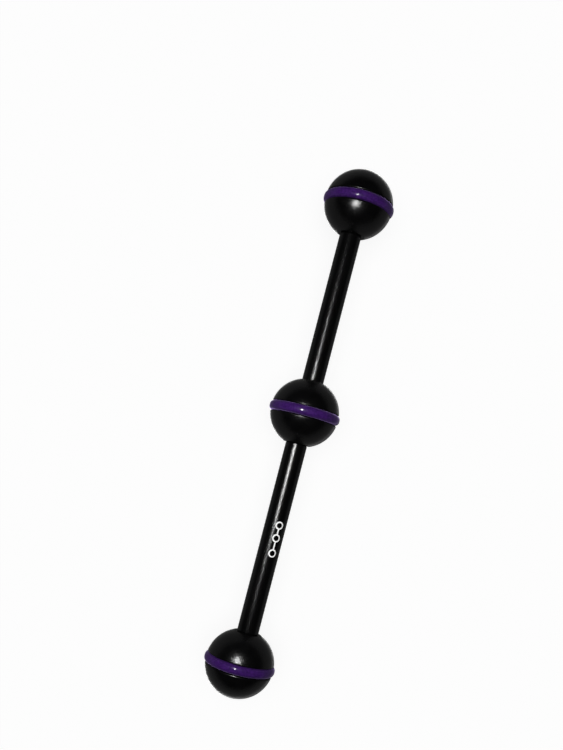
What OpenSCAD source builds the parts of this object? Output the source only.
// Triple ball arm: three one-inch balls joined by two slim rods, each ball
// grooved at its equator for an O-ring that grips inside a two-shell clamp.
// The arm lies along +X. The origin is the centre of the base ball.

/* [Arm] */
// Length over the two end balls
overall_len = 200; // [190:1:400]
// Distance from the middle ball's centre to the end ball's centre
end_spacing = 79.6; // [60:0.1:90]
// Diameter of both rods
rod_d = 8; // [7.5:0.5:9]
// Chamfer round each end of a rod
rod_chamfer = 0.35; // [0.1:0.05:0.5]

/* [Balls] */
// Diameter of every ball
ball_d = 25.4; // [25.4:0.1:38.1]
// Diameter of the flat that a rod's shoulder seats on
seat_d = 10; // [9.5:0.5:12]

/* [O-rings] */
// Diameter of the O-ring's cord
ring_cord_d = 3.5; // [2.6:0.1:3.6]
// How far the O-ring stands proud of the ball
ring_proud = 0.55; // [0.3:0.05:0.8]
// Width of the groove
groove_w = 3.7; // [3.65:0.05:4]
// Radius that rounds the groove's two lips
lip_r = 0.6; // [0.3:0.05:0.8]

/* [Studs] */
// Thread diameter of the stud in each joint
stud_d = 5; // [4:0.5:5]
// Thread pitch
pitch = 0.8; // [0.7:0.05:0.8]
// Threads that a stud takes up on each side of its joint
stud_turns = 10; // [7:1:10]
// Key size of the socket in the stud's end
socket_af = 2.5; // [2:0.5:2.5]

/* [Hidden] */
$fn = 96;

anodised_black = "#17171a";
ring_purple = "#472a86";
stainless = "#b4b6ba";

// Ball, seat and groove
ball_r = ball_d / 2;
seat_x = sqrt(pow(ball_r, 2) - pow(seat_d / 2, 2));
ring_r = ball_r + ring_proud - ring_cord_d / 2;
ring_clear = 0.01;
groove_floor_r = ring_r - ring_cord_d / 2 - ring_clear;

// Places along the arm
base_x = 0;
end_x = overall_len - ball_d;
middle_x = end_x - end_spacing;

// Basic ISO metric thread form, drawn as closed rings with no lead
flank_w = pitch * 5 / 16;
crest_w = pitch / 8;
root_w = pitch / 4;
thread_h = flank_w / tan(30);
thread_clear = 0.03;
tapped_turns = stud_turns + 1;
drill_extra = 0.4;
drill_point_angle = 118;
mouth_chamfer = 0.3;
stud_chamfer = 0.6;
socket_depth = 2.5;
cut = 1; // how far a cutting shape runs past the surface that it cuts

stud_half_len = stud_turns * pitch;

// Outline of one thread ring, [radius, height], starting at height y
function thread_ring(y, crest_r) = [
    [crest_r - thread_h, y + root_w / 2],
    [crest_r, y + root_w / 2 + flank_w],
    [crest_r, y + root_w / 2 + flank_w + crest_w],
    [crest_r - thread_h, y + pitch - root_w / 2]
];

// Half section of a threaded rod from height y0, for rotate_extrude
module thread_section(y0, turns, crest_r) {
    polygon(concat(
        [[0, y0], [crest_r - thread_h, y0]],
        [for (i = [0 : turns - 1]) each thread_ring(y0 + i * pitch, crest_r)],
        [[crest_r - thread_h, y0 + turns * pitch], [0, y0 + turns * pitch]]
    ));
}

// A tapped blind hole that opens at the origin and runs down -Z
module tapped_hole() {
    crest_r = stud_d / 2 + thread_clear;
    core_r = crest_r - thread_h;
    depth = tapped_turns * pitch + drill_extra;
    rotate_extrude() {
        translate([0, -tapped_turns * pitch])
            thread_section(0, tapped_turns, crest_r);
        polygon([
            [0, 0],
            [core_r, 0],
            [core_r, -depth],
            [0, -depth - core_r / tan(drill_point_angle / 2)]
        ]);
        polygon([
            [0, cut],
            [crest_r + mouth_chamfer + cut, cut],
            [crest_r - thread_h, -mouth_chamfer - thread_h],
            [0, -mouth_chamfer - thread_h]
        ]);
    }
}

// What rounding a groove lip takes away: the corner outside a circle that
// touches both the groove's wall and the ball
module lip_corner() {
    centre_y = groove_w / 2 + lip_r;
    centre_r = sqrt(pow(ball_r - lip_r, 2) - pow(centre_y, 2));
    reach = (ball_r + cut) / (ball_r - lip_r);
    difference() {
        polygon([
            [centre_r, centre_y],
            [centre_r, groove_w / 2 - cut / 2],
            [ball_r + cut, groove_w / 2 - cut / 2],
            [centre_r * reach, centre_y * reach]
        ]);
        translate([centre_r, centre_y]) circle(r = lip_r);
    }
}

// A ball's half section, with a seat on the +Y side and one on -Y if asked
module ball_section(two_seats) {
    difference() {
        circle(r = ball_r);
        translate([-2 * ball_r, -ball_r - cut])
            square([2 * ball_r, 2 * (ball_r + cut)]);
        translate([groove_floor_r, -groove_w / 2])
            square([ball_r, groove_w]);
        for (side = [0, 1])
            mirror([0, side]) lip_corner();
        for (side = two_seats ? [0, 1] : [0])
            mirror([0, side])
                translate([-cut, seat_x]) square([seat_d / 2 + cut, ball_r]);
    }
}

// A ball on +Z, drilled and tapped in each of its seats
module ball(two_seats) {
    color(anodised_black)
        difference() {
            rotate_extrude() ball_section(two_seats);
            for (side = two_seats ? [0, 1] : [0])
                mirror([0, 0, side])
                    translate([0, 0, seat_x]) tapped_hole();
        }
}

module o_ring() {
    color(ring_purple)
        rotate_extrude()
            translate([ring_r, 0]) circle(d = ring_cord_d);
}

// A rod that stands on its lower end, tapped at both ends
module rod(len) {
    r = rod_d / 2;
    color(anodised_black)
        difference() {
            rotate_extrude()
                polygon([
                    [0, 0],
                    [r - rod_chamfer, 0],
                    [r, rod_chamfer],
                    [r, len - rod_chamfer],
                    [r - rod_chamfer, len],
                    [0, len]
                ]);
            translate([0, 0, len]) tapped_hole();
            mirror([0, 0, 1]) tapped_hole();
        }
}

// A headless stud, centred on its joint, with a hexagon socket in its +Z end
module stud() {
    r = stud_d / 2;
    h = stud_half_len;
    color(stainless)
        difference() {
            rotate_extrude()
                intersection() {
                    thread_section(-h, 2 * stud_turns, r);
                    polygon([
                        [0, -h],
                        [r - stud_chamfer, -h],
                        [r + cut, -h + stud_chamfer + cut],
                        [r + cut, h - stud_chamfer - cut],
                        [r - stud_chamfer, h],
                        [0, h]
                    ]);
                }
            translate([0, 0, h - socket_depth])
                cylinder(d = socket_af / cos(30), h = socket_depth + cut, $fn = 6);
        }
}

// Lays a piece that stands on +Z along +X, at a place along the arm
module along_arm(x) {
    translate([x, 0, 0]) rotate([0, 90, 0]) children();
}

// The same, with the piece's +Z end towards the base ball
module back_along_arm(x) {
    translate([x, 0, 0]) rotate([0, -90, 0]) children();
}

module base_ball() along_arm(base_x) ball(false);
module middle_ball() along_arm(middle_x) ball(true);
module end_ball() back_along_arm(end_x) ball(false);

module base_o_ring() along_arm(base_x) o_ring();
module middle_o_ring() along_arm(middle_x) o_ring();
module end_o_ring() along_arm(end_x) o_ring();

module long_rod() along_arm(base_x + seat_x) rod(middle_x - base_x - 2 * seat_x);
module short_rod() along_arm(middle_x + seat_x) rod(end_x - middle_x - 2 * seat_x);

module base_stud() along_arm(base_x + seat_x) stud();
module middle_long_side_stud() back_along_arm(middle_x - seat_x) stud();
module middle_short_side_stud() along_arm(middle_x + seat_x) stud();
module end_stud() back_along_arm(end_x - seat_x) stud();

base_ball();
middle_ball();
end_ball();
base_o_ring();
middle_o_ring();
end_o_ring();
long_rod();
short_rod();
base_stud();
middle_long_side_stud();
middle_short_side_stud();
end_stud();
